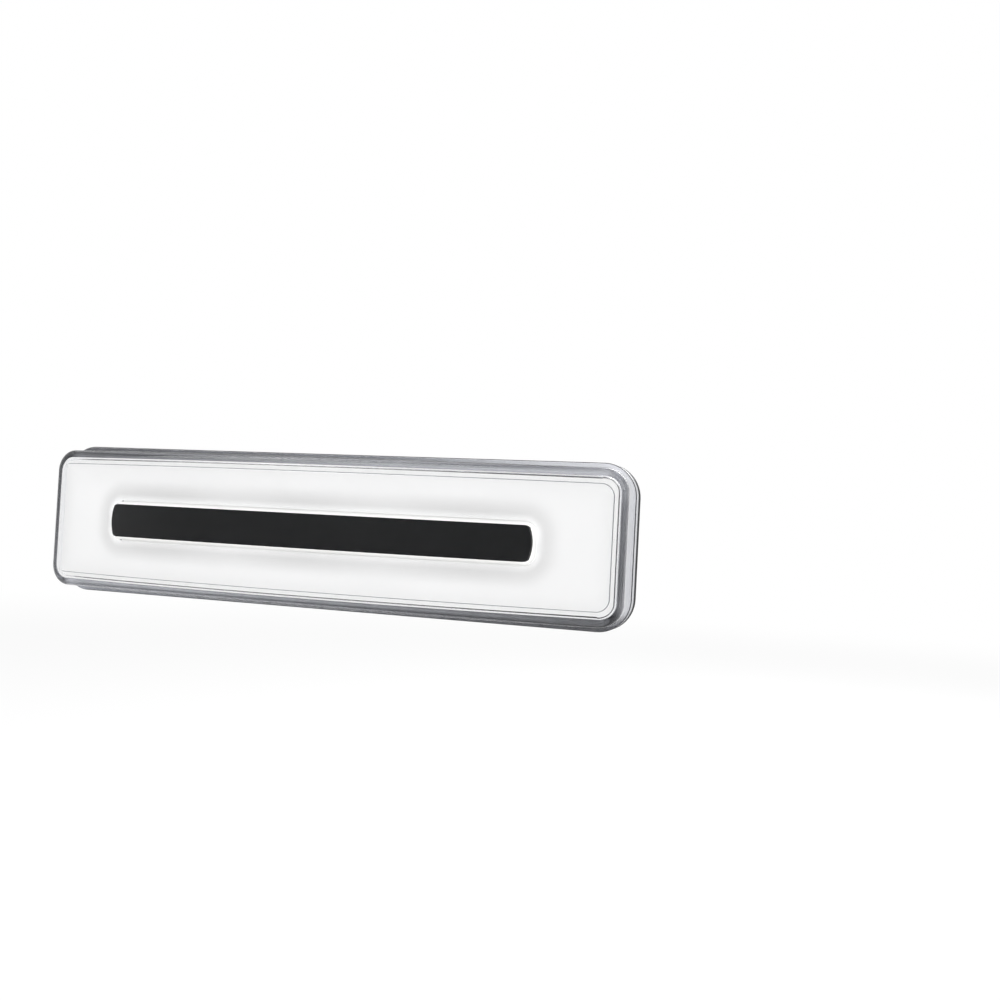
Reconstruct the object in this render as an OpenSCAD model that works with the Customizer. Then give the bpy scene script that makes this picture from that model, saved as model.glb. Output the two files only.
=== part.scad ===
// Rectangular LED clearance lamp with an arched clear lens, a dark centre bar
// and two spring clips that hold it in a cut-out. Millimetres.
// X runs along the lamp, Z is up, and the lens looks towards -Y.
// The origin is the centre of the cut-out, in the plane of the panel's face.

/* [Flange] */
// Length of the lamp across its flange
lamp_w = 170; // [150:1:190]
// Height of the lamp across its flange
lamp_h = 42; // [40:0.5:48]
// Corner radius of the flange
flange_r = 8.5; // [7.5:0.5:10]
// Thickness of the housing's flange
flange_t = 2.5; // [2:0.1:3]

/* [Lens] */
// Thickness of the lens's own flange
lens_flange_t = 2.5; // [2:0.1:3]
// Wall of the lens
lens_wall = 2; // [1.8:0.1:2.4]
// Depth from the panel to the lens's shoulder at the two ends
rim_depth = 11.6; // [11:0.1:13]
// Rise of the arched front at mid length
arch_rise = 8.2; // [6:0.1:9]
// Set-back of the lens's side wall from the flange at the ends
rim_inset_x = 0.8; // [0.8:0.1:1.2]
// Set-back of the lens's side wall from the flange above and below
rim_inset_z = 1.6; // [1.4:0.1:1.8]
// Corner radius of the lens's side wall
rim_r = 6; // [5.6:0.2:6.6]
// Rounding of the lens's front edge
edge_r = 2; // [1.6:0.1:2.2]
// Length of the raised face
face_w = 162; // [142:0.5:163]
// Height of the raised face
face_h = 30.6; // [28:0.1:31]
// Corner radius of the raised face
face_r = 3; // [2.4:0.1:3.6]
// Height of the raised face above the shoulder
face_step = 0.4; // [0.3:0.1:0.6]

/* [Light unit] */
// Length of the dark centre bar
bar_w = 122.8; // [116:0.2:128]
// Height of the centre bar
bar_h = 9.1; // [8:0.1:10]
// Thickness of the centre bar
bar_t = 1.4; // [1.2:0.1:1.6]
// Corner radius of the centre bar
bar_r = 2.2; // [1.8:0.1:3.4]
// Radius of the bar's bowed ends
bar_bow = 11; // [9:0.5:21]
// Width of the light guide that shows round the bar
guide_lip = 0.8; // [0.6:0.1:1.4]
// Clearance between pieces that slip together
fit_gap = 0.25; // [0.15:0.05:0.3]
// Thickness of the white reflector's face
panel_t = 1.2; // [1:0.1:1.5]
// Height of the circuit board
board_h = 12; // [11:0.5:14]
// Thickness of the circuit board
board_t = 1.6; // [1.2:0.1:1.8]
// Spacing of the light-emitting diodes
led_pitch = 9; // [8:0.1:10]

/* [Housing] */
// Length of the body behind the flange
body_w = 163; // [158:0.5:164]
// Height of the body behind the flange
body_h = 33; // [31:0.5:36]
// Depth of the body behind the flange
body_depth = 8; // [7.5:0.1:10]
// Corner radius of the body
body_r = 4; // [3:0.5:5]
// Wall of the body
wall = 2; // [1.6:0.1:2.2]
// Length of each clip pocket
pocket_len = 21.5; // [20:0.5:23]
// Width of the recess for the cable
recess_w = 18; // [16:0.5:20]
// Depth of the recess for the cable
recess_depth = 5; // [4.5:0.1:5.4]
// Diameter of the vent cap
vent_d = 10; // [8:0.5:12]

/* [Clip] */
// Width of the spring clips
clip_w = 15; // [13:0.5:16]
// Thickness of the clip's steel strip
clip_t = 0.7; // [0.5:0.1:0.8]
// Height of the clip's ridge behind the panel
clip_reach = 20.4; // [18:0.1:22]

/* [Cable] */
// Diameter of the cable's jacket
cable_d = 4.6; // [4.2:0.1:5]
// Diameter of each insulated wire
wire_d = 2.2; // [1.8:0.1:2.2]
// Diameter of the bare strands
strand_d = 1.4; // [1:0.1:1.6]

/* [Hidden] */
half_w = lamp_w/2;
half_h = lamp_h/2;
arch_r = (half_w*half_w + arch_rise*arch_rise)/(2*arch_rise);
fine = 64;

// depths of the layers under the arched front, measured at its two ends
face_depth = rim_depth + face_step;
lens_inner = face_depth - lens_wall;
bar_gap = 0.2;
panel_depth = lens_inner - bar_t - bar_gap;
panel_back = panel_depth - panel_t;
wall_a = half_w - rim_inset_x;
wall_b = half_h - rim_inset_z;
cavity_a = wall_a - lens_wall;
cavity_b = wall_b - lens_wall;
cavity_r = rim_r - lens_wall;

// upstand of the housing inside the lens, with an arched skirt along each long
// side that the white reflector lies on
upstand_t = 1.4;
upstand_h = 3;
upstand_a = cavity_a - fit_gap;
upstand_b = cavity_b - fit_gap;
upstand_r = cavity_r - fit_gap;
skirt_a = half_w - 7;
panel_a = upstand_a - 0.3;
panel_b = upstand_b - 0.3;
tray_a = upstand_a - upstand_t - fit_gap;
tray_b = upstand_b - upstand_t - fit_gap;
tray_r = max(0.8, cavity_r - upstand_t - 2*fit_gap);
tray_wall = 1.2;
tray_h = 3;

// snap hook of the reflector in a window of each skirt
hook_w = 1.5;
hook_front = panel_back + arch_rise - 3.4;
hook_h = 2.2;

// sealing bead in its groove
bead_w = 1.1;
bead_depth = 1;
bead_inset = 1.1;

// light guide, board and what stands on them
guide_w = bar_w + 2*guide_lip;
guide_h = bar_h + 2*guide_lip;
guide_r = bar_r + guide_lip;
led_t = 0.9;
led_w = 3.5;
led_h = 2.8;
board_front = flange_t + board_t;
guide_back = board_front + led_t + 0.2;
foot_t = 1.5;
foot_over = 1.5;
board_w = 2*(body_w/2 - wall - pocket_len);
led_last = floor((board_w/2 - 3)/led_pitch);
leg_x = (led_last - 0.5)*led_pitch;
leg_z = board_h/2 - 1.4;
screw_x = led_pitch*2.5;
screw_head_d = 4.4;
screw_head_t = 1.4;
screw_r = 1.25;
pin_r = 1.2;
bar_pins = [3.5 - bar_w/2, -led_pitch*3.5, led_pitch*3.5, bar_w/2 - 3.5];
resistor_pitch = 3.4;
resistor_l = 2;
resistor_w = 1.25;

// housing
pocket_out = body_w/2 - wall;
pocket_x = pocket_out - pocket_len;
cavity_w = 2*(pocket_x - wall);
cavity_h = body_h - 2*wall;
panel_in = body_depth - wall;
pocket_h = body_h - 2*wall;
recess_x = -2;
recess_z = 2.7;
recess_floor = body_depth - recess_depth;
skin = 1.5;
post_r = 3;
clip_screw_x = pocket_x + 4.8;
clip_head_r = 2.5;
clip_head_t = 1.6;
clip_boss_r = 3.2;
clip_boss_t = 2.5;
notch_h = clip_w + 2;
guide_rib_t = 1.2;
guide_rib_h = 3.2;

// vent
vent_x = -41;
vent_seat = 1.2;
membrane_t = 0.3;
vent_bore_r = 2.5;

// gland
gland_neck_r = 4;
gland_collar_r = 6.5;
gland_step = 1;
gland_end = recess_floor + 8*gland_step;
gland_in = recess_floor - skin - 0.8*gland_step;
// rings of the gland, as steps in from its collar and out from the recess's floor
gland_rings = [[0, 0], [0, 1.4], [0.4, 1.8], [1.3, 1.8], [1.3, 3], [1.7, 3.4], [2, 3.4], [2.1, 4.4],
    [2.5, 4.4], [2.6, 5.4], [2.2, 5.4], [2.4, 6.4], [2.8, 6.4], [2.9, 7.4]];
lead_d = 1.6;
lead_pitch = 2.4;
joint_t = 0.5;

function arch(x) = sqrt(arch_r*arch_r - x*x) - (arch_r - arch_rise);

// rounded rectangle about the origin
module round_rect(w, h, r) {
    square([w - 2*r, h], center = true);
    square([w, h - 2*r], center = true);
    for (x = [-1, 1], z = [-1, 1])
        translate([x*(w/2 - r), z*(h/2 - r)]) circle(r = r, $fn = fine);
}

// slab of the outline given as a child, between two depths along Y
module slab(y0, y1) {
    translate([0, y1, 0]) rotate([90, 0, 0]) linear_extrude(height = y1 - y0) children();
}

module plate(w, h, r, y0, y1) {
    slab(y0, y1) round_rect(w, h, r);
}

// everything behind the arched surface whose ends lie d in front of the panel
module behind_arch(d) {
    translate([0, arch_r - arch_rise - d, -half_h - 5])
        cylinder(r = arch_r, h = lamp_h + 10, $fn = 900);
}

// round rod along Y
module rod(x, z, r, y0, y1) {
    translate([x, y1, z]) rotate([90, 0, 0]) cylinder(r = r, h = y1 - y0, $fn = fine);
}

// block by its corners
module block(p, q) {
    translate(p) cube(q - p);
}

// cross recess of a screw
module cross_slot(x, reach, y0, y1) {
    w = 0.28;
    block([x - reach, y0, -w], [x + reach, y1, w]);
    block([x - w, y0, -reach], [x + w, y1, reach]);
}

// Lens: rings of the same number of points, lofted into one closed shell.
// A ring is half length, half height, corner radius, depth and share of the arch.
lens_arc = 6;
lens_bays = 20;
lens_rings = concat(
    [[half_w, half_h, flange_r, flange_t, 0],
     [half_w, half_h, flange_r, flange_t + lens_flange_t - 0.4, 0],
     [half_w - 0.4, half_h - 0.4, flange_r - 0.4, flange_t + lens_flange_t, 0],
     [wall_a + 0.15, wall_b + 0.35, rim_r + 0.6, flange_t + lens_flange_t, 0],
     [wall_a, wall_b, rim_r + 0.2, flange_t + lens_flange_t + 0.6, 0]],
    [for (a = [0:22.5:90])
        let (s = edge_r*(1 - cos(a)))
        [wall_a - s, wall_b - s, rim_r - s, rim_depth - edge_r*(1 - sin(a)), 1]],
    [[face_w/2 + 0.3, face_h/2 + 0.3, face_r + 0.3, rim_depth, 1],
     [face_w/2, face_h/2, face_r, face_depth, 1]]);
lens_hollow = [
    [cavity_a - 0.8, cavity_b - 0.8, cavity_r - 0.8, lens_inner, 1],
    [cavity_a - 0.25, cavity_b - 0.25, cavity_r - 0.25, lens_inner - 0.25, 1],
    [cavity_a, cavity_b, cavity_r, lens_inner - 0.8, 1],
    [cavity_a, cavity_b, cavity_r, flange_t, 0]];

function top_line(a, b, r) = concat(
    [for (i = [0:lens_arc]) let (t = 180 - 90*i/lens_arc) [-a + r + r*cos(t), b - r + r*sin(t)]],
    [for (i = [1:lens_bays - 1]) [-(a - r) + 2*(a - r)*i/lens_bays, b]],
    [for (i = [0:lens_arc]) let (t = 90 - 90*i/lens_arc) [a - r + r*cos(t), b - r + r*sin(t)]]);

function ring_points(g) =
    let (u = top_line(g[0], g[1], g[2]), n = len(u))
    [for (i = [0:2*n - 1])
        let (p = i < n ? u[i] : [u[2*n - 1 - i][0], -u[2*n - 1 - i][1]])
        [p[0], -(g[3] + g[4]*arch(p[0])), p[1]]];

// faces between one ring and the next, and across the last ring of a shell
function band(k, m, n) = [for (i = [0:n - 1]) let (j = (i + 1)%n)
    each [[k*n + i, m*n + i, m*n + j], [k*n + i, m*n + j, k*n + j]]];
function cap(k, n) = [for (i = [0:n/2 - 2])
    each [[k*n + i, k*n + n - 1 - i, k*n + n - 2 - i], [k*n + i, k*n + n - 2 - i, k*n + i + 1]]];
function turned(f) = [for (t = f) [t[0], t[2], t[1]]];

module outer_lens() {
    rings = concat(lens_rings, lens_hollow);
    n = 2*(2*lens_arc + lens_bays + 1);
    outer = len(lens_rings);
    all = len(rings);
    color([0.92, 0.95, 0.97, 0.35])
    polyhedron(
        points = [for (g = rings) each ring_points(g)],
        faces = concat(
            [for (k = [0:outer - 2]) each band(k, k + 1, n)],
            cap(outer - 1, n),
            turned(cap(outer, n)),
            [for (k = [outer:all - 2]) each band(k, k + 1, n)],
            band(all - 1, 0, n)));
}

// part of a solid's front behind one arched surface and in front of another
module arched_layer(front, back) {
    difference() {
        intersection() {
            children();
            behind_arch(front);
        }
        behind_arch(back);
    }
}

// ring between two rounded outlines, between two depths along Y
module frame_ring(a, b, r, t, y0, y1) {
    difference() {
        plate(2*a, 2*b, r, y0, y1);
        plate(2*(a - t), 2*(b - t), max(0.6, r - t), y0 - 1, y1 + 1);
    }
}

// white face round the bar: it lies on the skirts, locates inside them with a
// rim, stands on the upstand with its end walls and is held by two snap hooks
module reflector() {
    panel_r = cavity_r - fit_gap - 0.3;
    color([0.96, 0.96, 0.97])
    difference() {
        union() {
            arched_layer(panel_depth, panel_back) plate(2*panel_a, 2*panel_b, panel_r, -60, 0);
            arched_layer(panel_depth - panel_t/2, panel_back - tray_h)
                frame_ring(tray_a, tray_b, tray_r, tray_wall, -60, 0);
            difference() {
                intersection() {
                    frame_ring(panel_a, panel_b, panel_r, tray_wall, -60, -flange_t - upstand_h);
                    behind_arch(panel_depth - panel_t/2);
                }
                cube([2*(skirt_a + fit_gap), 200, 200], center = true);
            }
            for (s = [-1, 1]) {
                block([-hook_w/2, -panel_back - arch_rise - 0.2, min(s*(tray_b - tray_wall), s*tray_b)],
                      [hook_w/2, -hook_front + hook_h, max(s*(tray_b - tray_wall), s*tray_b)]);
                block([-hook_w/2, -hook_front, min(s*(tray_b - 0.1), s*(upstand_b - 0.3))],
                      [hook_w/2, -hook_front + hook_h, max(s*(tray_b - 0.1), s*(upstand_b - 0.3))]);
            }
        }
        plate(guide_w + 2*fit_gap, guide_h + 2*fit_gap, guide_r + fit_gap, -60, 1);
    }
}

// outline of the bar: a rounded strip with gently bowed ends
module bar_outline(grow) {
    intersection() {
        round_rect(bar_w + 2*grow, bar_h + 2*grow, bar_r + grow);
        union() {
            square([bar_w - 2*bar_bow, bar_h + 2*grow + 1], center = true);
            for (x = [-1, 1]) translate([x*(bar_w/2 - bar_bow), 0]) circle(r = bar_bow + grow, $fn = 180);
        }
    }
}

module centre_bar() {
    color([0.09, 0.09, 0.1])
    union() {
        difference() {
            intersection() {
                slab(-60, 0) bar_outline(0);
                behind_arch(panel_depth + bar_t);
            }
            behind_arch(panel_depth);
        }
        for (x = bar_pins) {
            y = -(panel_depth + arch(x));
            rod(x, 0, pin_r, y - bar_t/2, y + 3);
        }
    }
}

// milky guide between the diodes and the edge of the bar
module light_guide() {
    color([0.9, 0.93, 0.97])
    difference() {
        union() {
            intersection() {
                plate(guide_w, guide_h, guide_r, -60, -guide_back);
                behind_arch(panel_depth);
            }
            plate(guide_w + 2*foot_over, guide_h + 2*foot_over, guide_r, -guide_back - foot_t, -guide_back);
            for (x = [-leg_x, leg_x], z = [-leg_z, leg_z])
                rod(x, z, 1, -guide_back - 0.5, -board_front);
        }
        for (x = [-screw_x, screw_x])
            rod(x, 0, screw_head_d/2 + 0.6, -board_front - screw_head_t - 0.4, 0);
        for (x = bar_pins) {
            y = -(panel_depth + arch(x));
            rod(x, 0, pin_r, y - 5, y + 3.4);
        }
    }
}

module circuit_board() {
    color([0.93, 0.94, 0.92])
    difference() {
        plate(board_w, board_h, 1, -board_front, -flange_t);
        for (x = [-screw_x, screw_x]) rod(x, 0, screw_r + 0.3, -board_front - 1, 0);
        for (x = [-1, 1]) rod(x*(board_w/2), 0, 1.5, -board_front - 1, 0);
    }
}

module led_row() {
    color([0.98, 0.9, 0.55])
    for (i = [-led_last:led_last]) {
        x = i*led_pitch;
        difference() {
            block([x - led_w/2, -board_front - led_t, -led_h/2], [x + led_w/2, -board_front, led_h/2]);
            rod(x, 0, 1.1, -board_front - led_t - 1, -board_front - led_t + 0.2);
        }
    }
}

// chip resistors on the back of the board
module resistor_row() {
    color([0.1, 0.1, 0.12])
    for (i = [0:5]) {
        x = screw_x + post_r + 2.5 + i*resistor_pitch;
        block([x, -flange_t, leg_z - resistor_l], [x + resistor_w, -flange_t + 0.55, leg_z]);
    }
}

module driver_chip() {
    cx = 32;
    color([0.12, 0.12, 0.13])
    union() {
        block([cx - 2.5, -flange_t + 0.2, -4.2], [cx + 2.5, -flange_t + 1.7, -0.4]);
        for (i = [0:3], s = [-1, 1]) {
            x = cx - 1.9 + i*1.27;
            z = s > 0 ? -0.5 : -4.1;
            block([x - 0.2, -flange_t, min(z, z + s)], [x + 0.2, -flange_t + 0.6, max(z, z + s)]);
        }
    }
}

module input_diode() {
    color([0.14, 0.14, 0.15])
    union() {
        block([8.6, -flange_t + 0.1, -4.2], [13, -flange_t + 2.2, -1.6]);
        block([7.9, -flange_t, -3.6], [13.7, -flange_t + 0.5, -2.2]);
    }
}

module capacitor() {
    cx = 42;
    color([0.75, 0.76, 0.78])
    union() {
        block([cx - 3.3, -flange_t, -4.4], [cx + 3.3, -flange_t + 0.8, 2.2]);
        rod(cx, -1.1, 3.15, -flange_t + 0.8, -flange_t + 5.4);
    }
}

module board_screws() {
    color([0.78, 0.78, 0.8])
    for (x = [-screw_x, screw_x])
        difference() {
            union() {
                rod(x, 0, screw_head_d/2, -board_front - screw_head_t, -board_front);
                rod(x, 0, screw_r, -board_front - 0.1, 1.5);
            }
            cross_slot(x, 1.4, -board_front - screw_head_t - 1, -board_front - screw_head_t + 0.7);
        }
}

// soldered ends of the two leads
module solder_joints() {
    color([0.8, 0.8, 0.82])
    for (s = [-1, 1])
        translate([recess_x + s*lead_pitch/2, -flange_t, recess_z])
            rotate([-90, 0, 0]) cylinder(r1 = 1.15, r2 = lead_d/2, h = joint_t, $fn = fine);
}

module inner_leads() {
    color([0.85, 0.85, 0.85])
    for (s = [-1, 1])
        rod(recess_x + s*lead_pitch/2, recess_z, lead_d/2, -flange_t + joint_t, gland_in);
}

module seal_bead() {
    a = half_w - bead_inset;
    b = half_h - bead_inset;
    color([0.25, 0.25, 0.26])
    difference() {
        plate(2*a, 2*b, flange_r - bead_inset, -flange_t, -flange_t + bead_depth);
        plate(2*(a - bead_w), 2*(b - bead_w), flange_r - bead_inset - bead_w, -flange_t - 1, 1);
    }
}

// arched recess in the back that the cable leaves by
module recess_shape(grow, y0, y1) {
    w = recess_w + 2*grow;
    translate([recess_x, 0, recess_z])
        slab(y0, y1) union() {
            circle(d = w, $fn = fine);
            translate([-w/2, -half_h - recess_z]) square([w, half_h + recess_z]);
        }
}

module rear_housing() {
    color([0.05, 0.05, 0.06])
    difference() {
        union() {
            difference() {
                union() {
                    plate(lamp_w, lamp_h, flange_r, -flange_t, 0);
                    plate(body_w, body_h, body_r, -flange_t, body_depth);
                    plate(2*upstand_a, 2*upstand_b, upstand_r, -flange_t - upstand_h, -flange_t + 0.1);
                    intersection() {
                        plate(2*upstand_a, 2*upstand_b, upstand_r, -60, -flange_t + 0.1);
                        behind_arch(panel_back);
                        cube([2*skirt_a, 200, 200], center = true);
                    }
                }
                // inside of the upstand, and the windows for the reflector's hooks
                plate(2*(upstand_a - upstand_t), 2*(upstand_b - upstand_t), tray_r + fit_gap,
                      -61, -flange_t);
                block([-hook_w/2 - fit_gap, -hook_front - fit_gap, -half_h],
                      [hook_w/2 + fit_gap, -hook_front + hook_h + fit_gap, half_h]);
                // hollow behind the board
                plate(cavity_w, cavity_h, 2, -flange_t - 1, panel_in);
                // groove for the sealing bead
                difference() {
                    plate(2*(half_w - bead_inset), 2*(half_h - bead_inset), flange_r - bead_inset,
                          -flange_t - 1, -flange_t + bead_depth);
                    plate(2*(half_w - bead_inset - bead_w), 2*(half_h - bead_inset - bead_w),
                          flange_r - bead_inset - bead_w, -flange_t - 2, 1);
                }
                // clip pockets, each open through its end wall
                for (s = [-1, 1]) {
                    mid = s*(pocket_x + pocket_out)/2;
                    translate([mid, 0, 0]) plate(pocket_out - pocket_x, pocket_h, 1.5, 0, body_depth + 1);
                    block([min(s*(pocket_out - 1), s*(half_w + 1)), 0, -notch_h/2],
                          [max(s*(pocket_out - 1), s*(half_w + 1)), body_depth + 1, notch_h/2]);
                }
            }
            // posts under the board
            for (x = [-screw_x, screw_x]) rod(x, 0, post_r, -flange_t, panel_in + 0.1);
            // bosses for the clip screws, and ribs beside each clip
            for (s = [-1, 1]) {
                rod(s*clip_screw_x, 0, clip_boss_r, -flange_t - clip_boss_t, -flange_t + 0.1);
                for (z = [-1, 1]) {
                    rib_z = z*(clip_w/2 + 0.6 + guide_rib_t/2);
                    block([min(s*(pocket_x - 0.1), s*(pocket_out - 6)), -0.1, rib_z - guide_rib_t/2],
                          [max(s*(pocket_x - 0.1), s*(pocket_out - 6)), guide_rib_h, rib_z + guide_rib_t/2]);
                    rod(s*(pocket_out - 5), z*(pocket_h/2 - 3), 1.4, -0.1, guide_rib_h + 1);
                }
            }
            // floor and walls of the cable recess
            intersection() {
                recess_shape(skin, recess_floor - skin, body_depth);
                plate(body_w, body_h, body_r, -flange_t, body_depth);
            }
        }
        recess_shape(0, recess_floor, body_depth + 1);
        rod(recess_x, recess_z, gland_neck_r, 0, body_depth);
        // screw holes
        for (x = [-screw_x, screw_x]) rod(x, 0, screw_r, -flange_t - 1, 3);
        for (s = [-1, 1]) rod(s*clip_screw_x, 0, screw_r, -flange_t - clip_boss_t + 0.8, 1);
        // vent bore and the seat of its cap
        rod(vent_x, 0, vent_bore_r, 0, body_depth + 1);
        rod(vent_x, 0, vent_d/2 + 0.3, body_depth - vent_seat, body_depth + 1);
    }
}

module vent_membrane() {
    color([0.9, 0.9, 0.9])
    rod(vent_x, 0, vent_bore_r + 1.4, body_depth - vent_seat, body_depth - vent_seat + membrane_t);
}

module vent_cap() {
    top = body_depth + 0.9;
    low = body_depth - vent_seat + membrane_t;
    color([0.07, 0.07, 0.08])
    difference() {
        rod(vent_x, 0, vent_d/2, low, top);
        for (a = [45, 225])
            translate([vent_x + vent_d/2*cos(a), top, vent_d/2*sin(a)]) rotate([90, 0, 0])
                cylinder(r = 1.3, h = top - low + 1, $fn = fine);
        translate([vent_x, 0, 0]) difference() {
            rod(0, 0, vent_d/2 - 0.9, top - 0.3, top + 1);
            rod(0, 0, vent_d/2 - 1.4, top - 1, top + 2);
        }
    }
}

// rubber gland moulded round the cable
module cable_gland() {
    color([0.06, 0.06, 0.07])
    translate([recess_x, 0, recess_z]) rotate([-90, 0, 0])
    rotate_extrude($fn = fine)
    polygon(concat(
        [[0, gland_in], [gland_neck_r + 1.5*gland_step, gland_in],
         [gland_neck_r + 1.5*gland_step, recess_floor - skin],
         [gland_neck_r, recess_floor - skin], [gland_neck_r, recess_floor]],
        [for (p = gland_rings) [gland_collar_r - p[0]*gland_step, recess_floor + p[1]*gland_step]],
        [[cable_d/2 + 0.9*gland_step, gland_end - 0.3*gland_step],
         [cable_d/2 + 0.6*gland_step, gland_end], [0, gland_end]]));
}

// Clip: a strip bent along a line of points, given as distance from the lamp's
// centre and distance behind the panel.
clip_base_x = pocket_x + 2;
ridge_x = pocket_x + 9.6;
ramp_x = pocket_out - 1.5;
tip_x = body_w/2 + 0.9;
clip_line = [
    [clip_base_x, clip_t/2], [ridge_x - 2.2, clip_t/2], [ridge_x - 1.3, clip_t/2 + 0.3],
    [ridge_x - 0.9, clip_t/2 + 1.1], [ridge_x - 0.3, clip_reach - 2.2], [ridge_x, clip_reach - 1],
    [ridge_x + 0.8, clip_reach - 0.4], [ridge_x + 1.8, clip_reach - 0.6],
    [ramp_x - 1, clip_reach - 2.5], [ramp_x, clip_reach - 3.1], [ramp_x + 0.5, clip_reach - 4.2],
    [tip_x, 5.6], [tip_x, 4.6], [tip_x - 0.6, 3.7]];

function unit2(v) = v/norm(v);
function side_of(p, i) =
    let (a = i > 0 ? unit2(p[i] - p[i - 1]) : unit2(p[1] - p[0]),
         b = i < len(p) - 1 ? unit2(p[i + 1] - p[i]) : a,
         m = unit2(a + b))
    [-m[1], m[0]]/max(0.5, m*a);
function strip(p, t) = concat(
    [for (i = [0:len(p) - 1]) p[i] + side_of(p, i)*t/2],
    [for (i = [len(p) - 1:-1:0]) p[i] - side_of(p, i)*t/2]);

module spring_clip(s) {
    color([0.72, 0.73, 0.75])
    difference() {
        translate([0, 0, -clip_w/2]) linear_extrude(height = clip_w)
            polygon([for (p = strip(clip_line, clip_t)) [s*p[0], p[1]]]);
        rod(s*clip_screw_x, 0, screw_r + 0.3, -1, 2);
    }
}

module left_clip() { spring_clip(-1); }
module right_clip() { spring_clip(1); }

module clip_screws() {
    color([0.8, 0.8, 0.82])
    for (s = [-1, 1])
        difference() {
            union() {
                rod(s*clip_screw_x, 0, clip_head_r, clip_t, clip_t + clip_head_t);
                rod(s*clip_screw_x, 0, screw_r, -flange_t - clip_boss_t + 1, clip_t + 0.1);
            }
            cross_slot(s*clip_screw_x, 1.5, clip_t + clip_head_t - 0.7, clip_t + clip_head_t + 1);
        }
}

// Cable: points its centre line runs through, from the gland to the stripped end
cable_route = [
    [recess_x, gland_end, recess_z], [-2, 15, 2.4], [-2, 19, 1], [-2, 22, -2], [-1.5, 23.5, -6.5],
    [1, 23.5, -11], [6, 22.5, -14.5], [13, 21, -15.5], [20, 20, -14.5], [27, 19, -12], [33, 19, -8],
    [36.5, 19, -2], [36.5, 20, 4.5], [32.5, 21.5, 9.5], [26, 23, 12.5], [19, 24.5, 13.5],
    [12, 25.5, 12], [6, 26.5, 9], [1.5, 27.5, 4.5], [-0.5, 28, -1], [1, 28, -6.5],
    [5.5, 27.5, -10.5], [12, 27, -12], [18.5, 26.5, -10], [24.5, 26.5, -6.5],
    [30.5, 26, -2.5], [36, 25.5, 1.5]];
jacket_end = cable_route[len(cable_route) - 1];
jacket_way = unit3([5.5, -0.5, 4]);
wire_side = unit3(cross(jacket_way, [0.35, 1, 0.2]));
white_start = jacket_end + wire_side*(wire_d/2 + 0.02);
black_start = jacket_end - wire_side*(wire_d/2 + 0.02);
white_route = [white_start, white_start + 2.4*jacket_way, [42, 24.8, 7.2], [46.5, 24.2, 8.7],
    [51, 23.5, 9.4], [55.5, 22.8, 9.6], [60, 22, 9.2]];
black_route = [black_start, black_start + 2.4*jacket_way, [43, 25.4, 4.4], [47.5, 25.4, 5.3],
    [52, 25.2, 5.9], [57, 25.2, 6.1], [61.5, 25, 5.7]];
white_way = unit3([4.5, -0.8, -0.5]);
black_way = unit3([4.5, -0.2, -0.7]);
white_strands = [white_route[6], white_route[6] + 2.5*white_way, white_route[6] + 4.8*white_way];
black_strands = [black_route[6], black_route[6] + 2.5*black_way, black_route[6] + 5*black_way];

// smooth curve through the points, k steps from each to the next
function bend(a, b, c, d, t) = b + t/2*(c - a) + t*t/2*(2*a - 5*b + 4*c - d)
    + t*t*t/2*(3*b - a - 3*c + d);
function curve(p, first, last, k) =
    let (n = len(p), q = concat([p[1] - first*norm(p[1] - p[0])*2], p,
        [p[n - 2] + last*norm(p[n - 1] - p[n - 2])*2]))
    concat([for (i = [0:n - 2], j = [0:k - 1]) bend(q[i], q[i + 1], q[i + 2], q[i + 3], j/k)],
        [p[n - 1]]);

function unit3(v) = v/norm(v);
function across(v, t) = unit3(v - (v*t)*t);
function sides(v, t, i = 0) = i == len(t) ? [] :
    let (w = across(v, t[i])) concat([w], sides(w, t, i + 1));

// tube of n sides along a route, its end faces square to the ways first and last
module tube(route, d, n, k, first, last) {
    p = curve(route, first, last, k);
    m = len(p);
    way = [for (i = [0:m - 1]) i == 0 ? first : i == m - 1 ? last : unit3(p[i + 1] - p[i - 1])];
    w = sides([0.3, 0.2, 1], way);
    polyhedron(
        points = [for (i = [0:m - 1]) let (b = cross(way[i], w[i]))
            for (j = [0:n - 1]) p[i] + d/2*(w[i]*cos(360*j/n) + b*sin(360*j/n))],
        faces = concat(
            [[for (j = [0:n - 1]) j]],
            [for (i = [0:m - 2], j = [0:n - 1]) let (h = (j + 1)%n)
                each [[i*n + j, (i + 1)*n + h, i*n + h], [i*n + j, (i + 1)*n + j, (i + 1)*n + h]]],
            [[for (j = [n - 1:-1:0]) (m - 1)*n + j]]));
}

module cable() {
    color([0.05, 0.05, 0.06]) tube(cable_route, cable_d, 10, 3, [0, 1, 0], jacket_way);
}
module white_wire() {
    color([0.93, 0.93, 0.93]) tube(white_route, wire_d, 8, 4, jacket_way, white_way);
}
module black_wire() {
    color([0.06, 0.06, 0.07]) tube(black_route, wire_d, 8, 4, jacket_way, black_way);
}
module white_wire_strands() {
    color([0.85, 0.86, 0.88]) tube(white_strands, strand_d, 8, 1, white_way, white_way);
}
module black_wire_strands() {
    color([0.85, 0.86, 0.88]) tube(black_strands, strand_d, 8, 1, black_way, black_way);
}

outer_lens();
reflector();
centre_bar();
light_guide();
circuit_board();
led_row();
resistor_row();
driver_chip();
input_diode();
capacitor();
board_screws();
solder_joints();
inner_leads();
seal_bead();
rear_housing();
vent_membrane();
vent_cap();
cable_gland();
left_clip();
right_clip();
clip_screws();
cable();
white_wire();
black_wire();
white_wire_strands();
black_wire_strands();
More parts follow.
